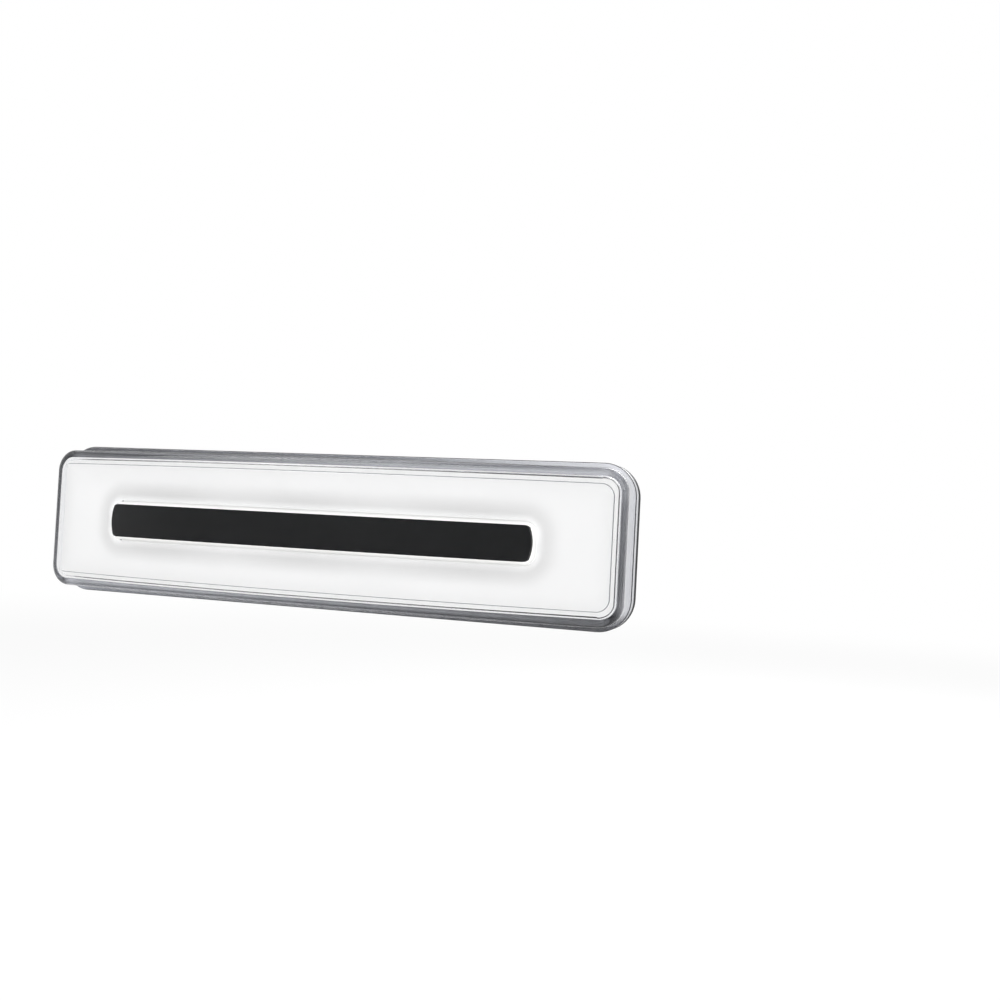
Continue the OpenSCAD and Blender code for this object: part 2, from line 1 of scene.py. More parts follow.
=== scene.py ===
import math
import bmesh
import bpy
from mathutils import Euler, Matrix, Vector


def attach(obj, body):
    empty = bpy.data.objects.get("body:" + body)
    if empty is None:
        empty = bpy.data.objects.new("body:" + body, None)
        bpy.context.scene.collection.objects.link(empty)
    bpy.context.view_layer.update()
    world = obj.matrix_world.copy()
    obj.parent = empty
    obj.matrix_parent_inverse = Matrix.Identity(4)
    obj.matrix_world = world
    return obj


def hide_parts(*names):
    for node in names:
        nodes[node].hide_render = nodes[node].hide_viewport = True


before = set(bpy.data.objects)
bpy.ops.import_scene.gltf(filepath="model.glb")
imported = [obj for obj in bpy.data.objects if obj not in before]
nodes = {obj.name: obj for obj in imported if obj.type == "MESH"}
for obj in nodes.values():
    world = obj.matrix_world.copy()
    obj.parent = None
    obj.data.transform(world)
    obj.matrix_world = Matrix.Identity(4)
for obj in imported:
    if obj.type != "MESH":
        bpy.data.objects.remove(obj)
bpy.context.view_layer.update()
mm = 0.001


# Camera: the photograph's view of the lamp's front
cameraView = {
    "place": (138.3, -264.9, 3.93),     # mm, about a quarter of a metre from the lens
    "turn": (91.393, -3.005, 18.748),   # degrees about X, Y and Z
    "lens": 38.69,                      # mm on a 36 mm sensor
}


def makeCamera():
    data = bpy.data.cameras.new("camera")
    data.lens = cameraView["lens"]
    data.sensor_width = 36
    data.clip_start = 0.01
    data.clip_end = 60
    cam = bpy.data.objects.new("camera", data)
    cam.location = [v * mm for v in cameraView["place"]]
    cam.rotation_euler = Euler([math.radians(v) for v in cameraView["turn"]], "XYZ")
    bpy.context.scene.collection.objects.link(cam)
    bpy.context.scene.camera = cam
    print("camera set")


makeCamera()


def newPiece(name, bm):
    mesh = bpy.data.meshes.new(name)
    bmesh.ops.recalc_face_normals(bm, faces=bm.faces[:])
    bm.to_mesh(mesh)
    bm.free()
    mesh.shade_smooth()
    mesh.set_sharp_from_angle(angle=math.radians(38))       # a sharper bend stays crisp
    piece = bpy.data.objects.new(name, mesh)
    bpy.context.scene.collection.objects.link(piece)
    return piece


edgeTurns = (0, 30, 60, 90)             # degrees at which a small round edge has its points


# Cable: the jacket leaves the gland, makes one loop and a half and ends in two bare wires. All
# sizes and places are in mm
cableRun = {
    "diameter": 4.6,
    "length": 165.9,                    # mm along the route, from the gland to the jacket's end
    "endWay": (5.5, -0.5, 4),
    "sides": 40, "steps": 12,
    "endRound": 0.35,
    "route": [
        (-2, 11, 2.7), (-2, 15, 2.4), (-2, 19, 1), (-2, 22, -2), (-1.5, 23.5, -6.5), (1, 23.5, -11),
        (6, 22.5, -14.5), (13, 21, -15.5), (20, 20, -14.5), (27, 19, -12), (33, 19, -8), (36.5, 19, -2),
        (36.5, 20, 4.5), (32.5, 21.5, 9.5), (26, 23, 12.5), (19, 24.5, 13.5), (12, 25.5, 12),
        (6, 26.5, 9), (1.5, 27.5, 4.5), (-0.5, 28, -1), (1, 28, -6.5), (5.5, 27.5, -10.5), (12, 27, -12),
        (18.5, 26.5, -10), (24.5, 26.5, -6.5), (30.5, 26, -2.5), (36, 25.5, 1.5)],
}
wireRun = {
    "diameter": 2.2,
    "gap": 0.02,                        # between the two wires where they leave the jacket
    "across": (0.35, 1, 0.2),           # square to the side on which the white wire lies
    "straight": 2.4,                    # mm that both run straight on before they part
    "sides": 28, "steps": 12,
    "endRound": 0.2,
    "white": [(42, 24.8, 7.2), (46.5, 24.2, 8.7), (51, 23.5, 9.4), (55.5, 22.8, 9.6), (60, 22, 9.2)],
    "black": [(43, 25.4, 4.4), (47.5, 25.4, 5.3), (52, 25.2, 5.9), (57, 25.2, 6.1), (61.5, 25, 5.7)],
    "whiteEnd": (4.5, -0.8, -0.5),
    "blackEnd": (4.5, -0.2, -0.7),
}
strandRun = {
    "white": 4.8, "black": 5.0,         # bare length of each
    "around": 6,                        # strands laid round the one in the middle
    "strandRadius": 0.225,
    "ringRadius": 0.455,
    "turn": 7.5,                        # mm for one turn of the twist
    "unevenCut": 0.35,                  # mm, since the cut ends don't lie quite level
    "sides": 10, "steps": 24,
    "endRound": 0.1,
}


# curve through the points, with a number of steps from each to the next
def smoothRoute(points, startWay, endWay, steps):
    points = [Vector(p) for p in points]
    before = points[1] - startWay * (points[1] - points[0]).length * 2
    after = points[-2] + endWay * (points[-1] - points[-2]).length * 2
    run = [before] + points + [after]
    line = []
    for i in range(len(points) - 1):
        a, b, c, d = run[i:i + 4]
        for step in range(steps):
            t = step / steps
            line.append(b + (c - a) * (t / 2) + (a * 2 - b * 5 + c * 4 - d) * (t * t / 2)
                        + (b * 3 - a - c * 3 + d) * (t ** 3 / 2))
    line.append(points[-1])
    return line


# directions along a line and across it, turning no more than the line does
def lineFrames(line, startWay, endWay):
    between = [(line[i + 1] - line[i - 1]).normalized() for i in range(1, len(line) - 1)]
    ways = [startWay] + between + [endWay]
    side = Vector((0.3, 0.2, 1))        # a way in which none of these lines sets out
    frames = []
    for way in ways:
        side = (side - way * side.dot(way)).normalized()
        frames.append((way, side, way.cross(side)))
    return frames


# closed tube with rounded ends; its UV runs in millimetres round it and along it
def addTube(bm, line, frames, radius, sides, endRound):
    uvLayer = bm.loops.layers.uv.verify()
    rings = []                          # place, the two ways across, radius and travel of each
    along = 0.0
    last = len(line) - 1
    for i, (point, (way, side, other)) in enumerate(zip(line, frames)):
        along += (point - line[i - 1]).length if i else 0.0
        if i in (0, last):
            inward = way if i == 0 else -way
            for turn in edgeTurns[::-1] if i == 0 else edgeTurns:
                angle = math.radians(turn)
                rings.append((point + inward * endRound * (1 - math.sin(angle)), side, other,
                              radius - endRound * (1 - math.cos(angle)), along))
        elif along > endRound and (line[last] - point).length > endRound:
            rings.append((point, side, other, radius, along))
    made = []
    for place, side, other, size, _ in rings:
        made.append([bm.verts.new((place + (side * math.cos(2 * math.pi * k / sides)
                                            + other * math.sin(2 * math.pi * k / sides)) * size) * mm)
                     for k in range(sides)])
    for i in range(len(made) - 1):
        for k in range(sides):
            h = (k + 1) % sides
            face = bm.faces.new((made[i][k], made[i][h], made[i + 1][h], made[i + 1][k]))
            corners = ((k, i), (k + 1, i), (k + 1, i + 1), (k, i + 1))
            for loop, (step, ring) in zip(face.loops, corners):
                loop[uvLayer].uv = (2 * math.pi * radius * step / sides, rings[ring][4])
    for ring in (made[0], made[-1]):
        bm.faces.new(ring)


def routePiece(name, line, startWay, endWay, look):
    bm = bmesh.new()
    frames = lineFrames(line, startWay, endWay)
    addTube(bm, line, frames, look["diameter"] / 2, look["sides"], look["endRound"])
    return newPiece(name, bm)


# bare tinned strands, one straight and the others laid round it
def strandPiece(name, start, way, length):
    look = strandRun
    steps, around, radius = look["steps"], look["around"], look["strandRadius"]
    line = [start + way * (length * i / steps) for i in range(steps + 1)]
    frames = lineFrames(line, way, way)
    bm = bmesh.new()
    addTube(bm, line, frames, radius, look["sides"], look["endRound"])
    for k in range(around):
        twisted = []
        for i, (point, (_, side, other)) in enumerate(zip(line, frames)):
            angle = 2 * math.pi * (k / around + length * i / steps / look["turn"])
            outward = side * math.cos(angle) + other * math.sin(angle)
            twisted.append(point + outward * look["ringRadius"])
        shorter = look["unevenCut"] * ((k * 5) % around) / around
        twisted[-1] = twisted[-1] - way * shorter
        addTube(bm, twisted, frames, radius, look["sides"], look["endRound"])
    return newPiece(name, bm)


def makeCable():
    startWay = Vector((0, 1, 0))
    endWay = Vector(cableRun["endWay"]).normalized()
    line = smoothRoute(cableRun["route"], startWay, endWay, cableRun["steps"])
    jacket = routePiece("cableJacket", line, startWay, endWay, cableRun)
    jacketEnd = line[-1]
    side = endWay.cross(Vector(wireRun["across"])).normalized()
    pieces = {"cable": jacket}
    for colour, sign in (("white", 1), ("black", -1)):
        start = jacketEnd + side * (sign * (wireRun["diameter"] / 2 + wireRun["gap"]))
        wireEnd = Vector(wireRun[colour + "End"]).normalized()
        points = [start, start + endWay * wireRun["straight"]] + wireRun[colour]
        wireLine = smoothRoute(points, endWay, wireEnd, wireRun["steps"])
        pieces[colour + "_wire"] = routePiece(colour + "Wire", wireLine, endWay, wireEnd, wireRun)
        pieces[colour + "_wire_strands"] = strandPiece(
            colour + "Strands", wireLine[-1], wireEnd, strandRun[colour])
    for node, piece in pieces.items():
        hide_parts(node)
        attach(piece, "root")
    print("cable, wires and strands made, cable", round(sum(
        (line[i + 1] - line[i]).length for i in range(len(line) - 1)), 1), "mm long")
    return pieces


cablePieces = makeCable()


# Lens: the same rings as the solid's, with finer steps and round edges. Sizes are in mm, X and Z
# are half lengths and half heights, and depths are measured forward from the panel's face
lensForm = {
    "halfWidth": 85, "halfHeight": 21, "flangeRadius": 8.5,
    "back": 2.53,                       # clear of the housing by a hair, so the joint shows
    "flangeFront": 5, "flangeRound": 0.4,
    "filletX": 0.15, "filletZ": 0.35, "filletDepth": 0.6,
    "filletRadius": 6.2, "filletSpread": 0.4,       # corner radius at its end, and what it gains
    "wallX": 84.2, "wallZ": 19.4, "wallRadius": 6,
    "rimDepth": 11.6, "rimRound": 2,
    "faceX": 81, "faceZ": 15.3, "faceRadius": 3, "faceDepth": 12,
    "rimStep": [(0.36, 0), (0.26, 0.08)],           # outward from the face's outline, and forward
    "faceStep": [(0.06, -0.08), (-0.05, 0), (-0.3, 0)],
    "cavityX": 82.2, "cavityZ": 17.4, "cavityRadius": 4,
    "innerDepth": 10, "innerRound": 0.8, "innerBorder": 0.3,
    "archRise": 8.2,
    "cornerSteps": 16, "baySteps": 72,
}
# its surfaces, in the order of the material slots
lensFinishes = ["polished", "underWall", "underFlange", "partingLine", "paintedDarkEdge", "drawn"]


# how far the front stands out at x, on one arc from end to end
def archHeight(x):
    rise = lensForm["archRise"]
    radius = (lensForm["halfWidth"] ** 2 + rise ** 2) / (2 * rise)
    return math.sqrt(radius * radius - x * x) - (radius - rise)


# points of one ring: half length, half height, corner radius, depth and share of the arch
def ringPoints(a, b, r, depth, share):
    corner, bays = lensForm["cornerSteps"], lensForm["baySteps"]
    top = []
    for i in range(corner + 1):
        t = math.radians(180 - 90 * i / corner)
        top.append((-a + r + r * math.cos(t), b - r + r * math.sin(t)))
    top += [(-(a - r) + 2 * (a - r) * i / bays, b) for i in range(1, bays)]
    for i in range(corner + 1):
        t = math.radians(90 - 90 * i / corner)
        top.append((a - r + r * math.cos(t), b - r + r * math.sin(t)))
    ring = top + [(x, -z) for x, z in reversed(top)]
    return [Vector((x, -(depth + share * archHeight(x)), z)) for x, z in ring]


# rings round one edge, from its side (turn 0) to its front (turn 90)
def roundedRings(a, b, r, front, edgeRound, share, turns):
    rings = []
    for turn in turns:
        t = math.radians(turn)
        s = edgeRound * (1 - math.cos(t))
        rings.append((a - s, b - s, r - s, front - edgeRound * (1 - math.sin(t)), share))
    return rings


# outside from the back of the flange to the face, and inside from the cavity's roof to its mouth
def lensRings():
    f = lensForm
    a, b, r = f["halfWidth"], f["halfHeight"], f["flangeRadius"]
    outer = [(a, b, r, f["back"], 0)]
    outer += roundedRings(a, b, r, f["flangeFront"], f["flangeRound"], 0, edgeTurns)
    a, b, r = f["wallX"], f["wallZ"], f["wallRadius"]
    for turn in edgeTurns:                          # fillet between the flange and the wall
        t = math.radians(turn)
        s = 1 - math.sin(t)
        outer.append((a + f["filletX"] * s, b + f["filletZ"] * s, f["filletRadius"] + f["filletSpread"] * s,
                      f["flangeFront"] + f["filletDepth"] * (1 - math.cos(t)), 0))
    outer += roundedRings(a, b, r, f["rimDepth"], f["rimRound"], 1, range(0, 91, 10))
    a, b, r = f["faceX"], f["faceZ"], f["faceRadius"]
    for depth, step in (("rimDepth", "rimStep"), ("faceDepth", "faceStep")):
        outer += [(a + s, b + s, r + s, f[depth] + forward, 1) for s, forward in f[step]]
    a, b, r = f["cavityX"], f["cavityZ"], f["cavityRadius"]
    s = f["innerRound"] + f["innerBorder"]
    inner = [(a - s, b - s, r - s, f["innerDepth"], 1)]
    inner += roundedRings(a, b, r, f["innerDepth"], f["innerRound"], 1, (90, 70, 50, 30, 15, 0))
    inner.append((a, b, r, f["back"], 0))
    return outer, inner


def makeLens():
    outer, inner = lensRings()
    f = lensForm
    weldLine = (f["wallX"], f["wallZ"], f["wallRadius"], f["back"], 0)
    bm = bmesh.new()
    made = [[bm.verts.new(p * mm) for p in ringPoints(*ring)] for ring in outer + inner + [weldLine]]
    count = len(made[0])

    def joinRings(k, m, finish):
        for i in range(count):
            j = (i + 1) % count
            face = bm.faces.new((made[k][i], made[k][j], made[m][j], made[m][i]))
            face.material_index = lensFinishes.index(finish)

    step = len(outer) - 1 - len(f["faceStep"])      # last ring on the rim's side of the step
    wallFoot = 2 * len(edgeTurns)                   # last ring of the fillet
    for k in range(len(outer) - 1):
        if k == step:
            finish = "partingLine"
        elif k in (1, 2):                           # round of the flange's edge
            finish = "paintedDarkEdge"
        elif k <= wallFoot:                         # flange, fillet and side wall
            finish = "drawn"
        else:
            finish = "polished"
        joinRings(k, k + 1, finish)
    firstInner = len(outer)
    lastInner = firstInner + len(inner) - 1
    for k in range(firstInner, lastInner):
        joinRings(k, k + 1, "polished")
    joinRings(lastInner, lastInner + 1, "underWall")
    joinRings(lastInner + 1, 0, "underFlange")
    for ring in (made[firstInner - 1], made[firstInner]):   # face and roof, across their arcs
        for i in range(count // 2 - 1):
            bm.faces.new((ring[i], ring[i + 1], ring[count - 2 - i], ring[count - 1 - i]))
    lens = newPiece("clearLens", bm)
    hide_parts("outer_lens")
    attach(lens, "root")
    print("lens made,", len(lens.data.polygons), "faces")
    return lens


lens = makeLens()


# Materials: colours are written as sRGB hex, and this turns them to linear
def hexColour(code):
    parts = [int(code[i:i + 2], 16) / 255 for i in (1, 3, 5)]
    linear = [p / 12.92 if p <= 0.04045 else ((p + 0.055) / 1.055) ** 2.4 for p in parts]
    return (*linear, 1.0)


# adds a node; an input is named, or is i and its number, and takes a value or another's output
def addNode(tree, kind, settings=None, **inputs):
    node = tree.nodes.new(kind)
    for name, value in (settings or {}).items():
        setattr(node, name, value)
    for name, value in inputs.items():
        numbered = name[0] == "i" and name[1:].isdigit()
        socket = node.inputs[int(name[1:]) if numbered else name.replace("_", " ")]
        if isinstance(value, bpy.types.NodeSocket):
            tree.links.new(value, socket)
        else:
            socket.default_value = value
    return node


def newMaterial(name):
    mat = bpy.data.materials.new(name)
    mat.use_nodes = True
    mat.node_tree.nodes.clear()
    return mat, mat.node_tree


# Moulded plastic: the tool's spark-eroded grain breaks up the gloss, the melt leaves slow clouds
# in it, and handled edges are a little paler and round. The real grain is a few hundredths of a
# millimetre, and here it is as coarse as it needs to be to show
def mouldedPlastic(name, look):
    mat, tree = newMaterial(name)
    place = addNode(tree, "ShaderNodeTexCoord").outputs["Object"]
    grain = addNode(tree, "ShaderNodeTexNoise", Vector=place, Scale=1000 / look["grainMm"],
                    Detail=3.0, Roughness=0.6).outputs["Fac"]
    cloud = addNode(tree, "ShaderNodeTexNoise", Vector=place, Scale=1000 / look["cloudMm"],
                    Detail=3.0).outputs["Fac"]
    shade = addNode(tree, "ShaderNodeMix", {"data_type": "RGBA"}, Factor=cloud,
                    i6=hexColour(look["dark"]), i7=hexColour(look["light"])).outputs[2]
    rounded = addNode(tree, "ShaderNodeBevel", {"samples": 4}, Radius=look["edgeMm"] * mm).outputs[0]
    flat = addNode(tree, "ShaderNodeNewGeometry").outputs["Normal"]
    bent = addNode(tree, "ShaderNodeVectorMath", {"operation": "DOT_PRODUCT"},
                   i0=rounded, i1=flat).outputs["Value"]
    wearAndPaintedLight = addNode(tree, "ShaderNodeMapRange", Value=bent, From_Min=0.98, From_Max=0.75,
                   To_Min=0.0, To_Max=look["wear"]).outputs[0]
    shade = addNode(tree, "ShaderNodeMix", {"data_type": "RGBA"}, Factor=wearAndPaintedLight, i6=shade,
                    i7=hexColour(look["edge"])).outputs[2]
    mottle = addNode(tree, "ShaderNodeMath", {"operation": "MULTIPLY_ADD"},
                     i0=grain, i1=0.5, i2=cloud).outputs[0]
    rough = addNode(tree, "ShaderNodeMapRange", Value=mottle, From_Min=0.5, From_Max=1.0,
                    To_Min=look["rough"][0], To_Max=look["rough"][1]).outputs[0]
    bump = addNode(tree, "ShaderNodeBump", Strength=look["bump"], Distance=look["depthMm"] * mm,
                   Height=grain, Normal=rounded).outputs[0]
    shader = addNode(tree, "ShaderNodeBsdfPrincipled", Base_Color=shade, Roughness=rough, Normal=bump,
                     IOR=look["ior"], Specular_IOR_Level=look.get("shine", 0.5))
    addNode(tree, "ShaderNodeOutputMaterial", Surface=shader.outputs[0])
    return mat


housingAbs = mouldedPlastic("moulded black ABS", {          # deep black with a dull, soft shine
    "dark": "#0f1014", "light": "#17181d", "edge": "#3a3b42", "wear": 0.5, "edgeMm": 0.25,
    "grainMm": 0.45, "cloudMm": 24, "depthMm": 0.02, "bump": 0.35, "rough": (0.42, 0.56), "ior": 1.54,
    "shine": 0.2})
barAbs = mouldedPlastic("fine textured black ABS", {        # even dark grey, nearly matt
    "dark": "#17181a", "light": "#1d1e1f", "edge": "#3c3d3f", "wear": 0.5, "edgeMm": 0.3,
    "grainMm": 0.4, "cloudMm": 15, "depthMm": 0.02, "bump": 0.3, "rough": (0.5, 0.62), "ior": 1.54,
    "shine": 0.18})
boardMask = mouldedPlastic("screen printed white solder mask", {    # white, tan at the cut edge
    "dark": "#dde0dc", "light": "#e9ebe7", "edge": "#c8b98a", "wear": 0.8, "edgeMm": 0.15,
    "grainMm": 0.6, "cloudMm": 18, "depthMm": 0.01, "bump": 0.15, "rough": (0.3, 0.42), "ior": 1.52})
epoxyBlack = mouldedPlastic("moulded black epoxy", {        # dry and dark, like slate
    "dark": "#17171a", "light": "#202024", "edge": "#3a3a3f", "wear": 0.4, "edgeMm": 0.08,
    "grainMm": 0.2, "cloudMm": 4, "depthMm": 0.01, "bump": 0.4, "rough": (0.5, 0.65), "ior": 1.55})
ventPolymer = mouldedPlastic("moulded black polypropylene", {       # waxy, greyer on its edges
    "dark": "#131416", "light": "#1c1d20", "edge": "#505258", "wear": 0.7, "edgeMm": 0.15,
    "grainMm": 0.35, "cloudMm": 5, "depthMm": 0.02, "bump": 0.35, "rough": (0.42, 0.56), "ior": 1.49})
rubber = mouldedPlastic("moulded black rubber", {           # the dullest black of all
    "dark": "#101012", "light": "#19191c", "edge": "#37373b", "wear": 0.6, "edgeMm": 0.2,
    "grainMm": 0.5, "cloudMm": 6, "depthMm": 0.03, "bump": 0.4, "rough": (0.5, 0.68), "ior": 1.5})
membranePtfe = mouldedPlastic("pressed white PTFE membrane", {      # chalky white
    "dark": "#e2e3e2", "light": "#f1f1f0", "edge": "#d5d6d5", "wear": 0.3, "edgeMm": 0.05,
    "grainMm": 0.25, "cloudMm": 3, "depthMm": 0.02, "bump": 0.5, "rough": (0.7, 0.85), "ior": 1.38})


# Extruded PVC: die lines run along it and a slow wave goes round it, so its sheen wanders. The
# real lines are finer than a tenth of a millimetre and are drawn coarser, to show
def extrudedPvc(name, look):
    mat, tree = newMaterial(name)
    uv = addNode(tree, "ShaderNodeTexCoord").outputs["UV"]
    place = addNode(tree, "ShaderNodeTexCoord").outputs["Object"]
    lines = addNode(tree, "ShaderNodeMapping", Vector=uv,
                    Scale=(1 / look["lineMm"], 0.02 / look["lineMm"], 1)).outputs[0]   # long and thin
    die = addNode(tree, "ShaderNodeTexNoise", Vector=lines, Scale=1.0, Detail=2.0).outputs["Fac"]
    wave = addNode(tree, "ShaderNodeTexNoise", Vector=place, Scale=1000 / look["waveMm"],
                   Detail=2.0).outputs["Fac"]
    shade = addNode(tree, "ShaderNodeMix", {"data_type": "RGBA"}, Factor=wave,
                    i6=hexColour(look["dark"]), i7=hexColour(look["light"])).outputs[2]
    rough = addNode(tree, "ShaderNodeMapRange", Value=wave, From_Min=0.3, From_Max=0.7,
                    To_Min=look["rough"][0], To_Max=look["rough"][1]).outputs[0]
    relief = addNode(tree, "ShaderNodeMath", {"operation": "MULTIPLY_ADD"},
                     i0=die, i1=0.35, i2=wave).outputs[0]
    bump = addNode(tree, "ShaderNodeBump", Strength=look["bump"], Distance=look["depthMm"] * mm,
                   Height=relief).outputs[0]
    shader = addNode(tree, "ShaderNodeBsdfPrincipled", Base_Color=shade, Roughness=rough, Normal=bump,
                     IOR=1.53)
    addNode(tree, "ShaderNodeOutputMaterial", Surface=shader.outputs[0])
    return mat


jacketPvc = extrudedPvc("extruded black PVC jacket", {      # glossy, its sheen broken into patches
    "dark": "#131416", "light": "#1c1d20", "lineMm": 0.5, "waveMm": 7,
    "depthMm": 0.12, "bump": 0.5, "rough": (0.24, 0.36)})
whitePvc = extrudedPvc("extruded white PVC", {              # warm white and satin
    "dark": "#e4e4e2", "light": "#f2f2f0", "lineMm": 0.35, "waveMm": 5,
    "depthMm": 0.05, "bump": 0.4, "rough": (0.34, 0.46)})
blackPvc = extrudedPvc("extruded black PVC insulation", {   # black and satin
    "dark": "#141517", "light": "#1e1f22", "lineMm": 0.35, "waveMm": 5,
    "depthMm": 0.05, "bump": 0.4, "rough": (0.3, 0.42)})


# Metals: the way each was rolled, drawn or plated sets the run of its grain, given as its length
# along X, Y and Z. Real grain is far finer, and this is as fine as the render shows
def workedMetal(name, look):
    mat, tree = newMaterial(name)
    place = addNode(tree, "ShaderNodeTexCoord").outputs["Object"]
    run = addNode(tree, "ShaderNodeMapping", Vector=place,
                  Scale=[1000 / v for v in look["grainMm"]]).outputs[0]
    grain = addNode(tree, "ShaderNodeTexNoise", Vector=run, Scale=1.0, Detail=4.0,
                    Roughness=0.65).outputs["Fac"]
    cloud = addNode(tree, "ShaderNodeTexNoise", Vector=place, Scale=1000 / look["cloudMm"],
                    Detail=2.0).outputs["Fac"]
    both = addNode(tree, "ShaderNodeMath", {"operation": "MULTIPLY_ADD"},
                   i0=grain, i1=0.6, i2=cloud).outputs[0]
    mixed = addNode(tree, "ShaderNodeMapRange", Value=both, From_Min=0.55, From_Max=1.05).outputs[0]
    shade = addNode(tree, "ShaderNodeMix", {"data_type": "RGBA"}, Factor=mixed,
                    i6=hexColour(look["dark"]), i7=hexColour(look["light"])).outputs[2]
    rough = addNode(tree, "ShaderNodeMapRange", Value=grain, From_Min=0.3, From_Max=0.7,
                    To_Min=look["rough"][0], To_Max=look["rough"][1]).outputs[0]
    rounded = addNode(tree, "ShaderNodeBevel", {"samples": 4}, Radius=look["edgeMm"] * mm).outputs[0]
    bump = addNode(tree, "ShaderNodeBump", Strength=look["bump"], Distance=0.01 * mm, Height=grain,
                   Normal=rounded).outputs[0]
    shader = addNode(tree, "ShaderNodeBsdfPrincipled", Base_Color=shade, Roughness=rough, Normal=bump,
                     Metallic=1.0)
    addNode(tree, "ShaderNodeOutputMaterial", Surface=shader.outputs[0])
    return mat


clipSteel = workedMetal("cold rolled spring steel", {       # dull grey, its grain along the strip
    "dark": "#8f9196", "light": "#b6b8bc", "grainMm": (9, 9, 0.22), "cloudMm": 6, "edgeMm": 0.12,
    "rough": (0.24, 0.42), "bump": 0.5})
platedSteel = workedMetal("zinc plated steel", {            # bright, with a faint bloom
    "dark": "#b3b6bb", "light": "#cfd0cf", "grainMm": (0.5, 0.5, 0.5), "cloudMm": 2.5, "edgeMm": 0.12,
    "rough": (0.22, 0.36), "bump": 0.3})
tinnedCopper = workedMetal("hot tinned copper", {           # silvery, with an uneven gloss
    "dark": "#bfc0c2", "light": "#e2e2e0", "grainMm": (0.4, 0.4, 0.4), "cloudMm": 1.5, "edgeMm": 0.05,
    "rough": (0.2, 0.38), "bump": 0.4})
drawnAluminium = workedMetal("drawn aluminium", {           # fine lines down the can's side
    "dark": "#b9bbbe", "light": "#d2d3d5", "grainMm": (0.3, 4, 0.3), "cloudMm": 4, "edgeMm": 0.2,
    "rough": (0.25, 0.4), "bump": 0.4})


# Finishes of the lens's surfaces. Lengths are in mm, and the rest are shares
lensLook = {
    "polished": {"tint": "#fefefe", "shadow": "#fafafa"},
    "drawn": {"tint": "#f6f7fb", "shadow": "#f4f5f7", "rough": 0.05, "marksMm": (0.7, 12, 0.7),
              "least": 0.04, "most": 0.65,          # share of light scattered: least from the marks alone, most with the painted light
              "startX": 10, "endX": 78, "startZ": -19.5, "endZ": -14},
    "underWall": {"milky": "#f8f9ff", "clear": "#2b2c31",
                  "even": 0.68, "twist": 0.45,      # how much painted light, and how much that changes by corner
                  "ends": 0.12, "outer": 0.5},      # what is left of it at the ends and outside
    # the same painted light, under the flange
    "underFlange": {"milky": "#e6e8f2", "clear": "#2b2c31", "even": 0.18, "twist": 0.22,
                    "ends": 0.6, "outer": 1.0},
    "joint": {"meltMm": 6, "cornerX": 85, "cornerZ": 17,
              "endsX": (79, 82.5), "outerZ": (17.4, 19.2)},     # where those shares take over
    "partingLine": {"dark": "#62646a", "light": "#84868c", "through": 0.35, "gritMm": 0.8},
    # painted dark outline at the flange's round edge
    "paintedDarkEdge": {"dark": "#2a2b2f", "light": "#45464c", "through": 0.1, "gritMm": 0.8},
}


# lets lamps and soft light straight through a clear surface, as they pass through the real one
def openToLamps(tree, glass, look):
    path = addNode(tree, "ShaderNodeLightPath")
    soft = addNode(tree, "ShaderNodeMath", {"operation": "MAXIMUM"}, i0=path.outputs["Is Shadow Ray"],
                   i1=path.outputs["Is Diffuse Ray"]).outputs[0]
    through = addNode(tree, "ShaderNodeBsdfTransparent", Color=hexColour(look["shadow"]))
    mix = addNode(tree, "ShaderNodeMixShader", i0=soft, i1=glass.outputs[0], i2=through.outputs[0])
    addNode(tree, "ShaderNodeOutputMaterial", Surface=mix.outputs[0])


# Clear acrylic, polished by its mould: sharp reflections, and what lies behind is bent at the rim
def clearAcrylic(look):
    mat, tree = newMaterial("clear moulded acrylic")
    glass = addNode(tree, "ShaderNodeBsdfPrincipled", Base_Color=hexColour(look["tint"]), Roughness=0.0,
                    IOR=1.49, Transmission_Weight=1.0)
    openToLamps(tree, glass, look)
    return mat
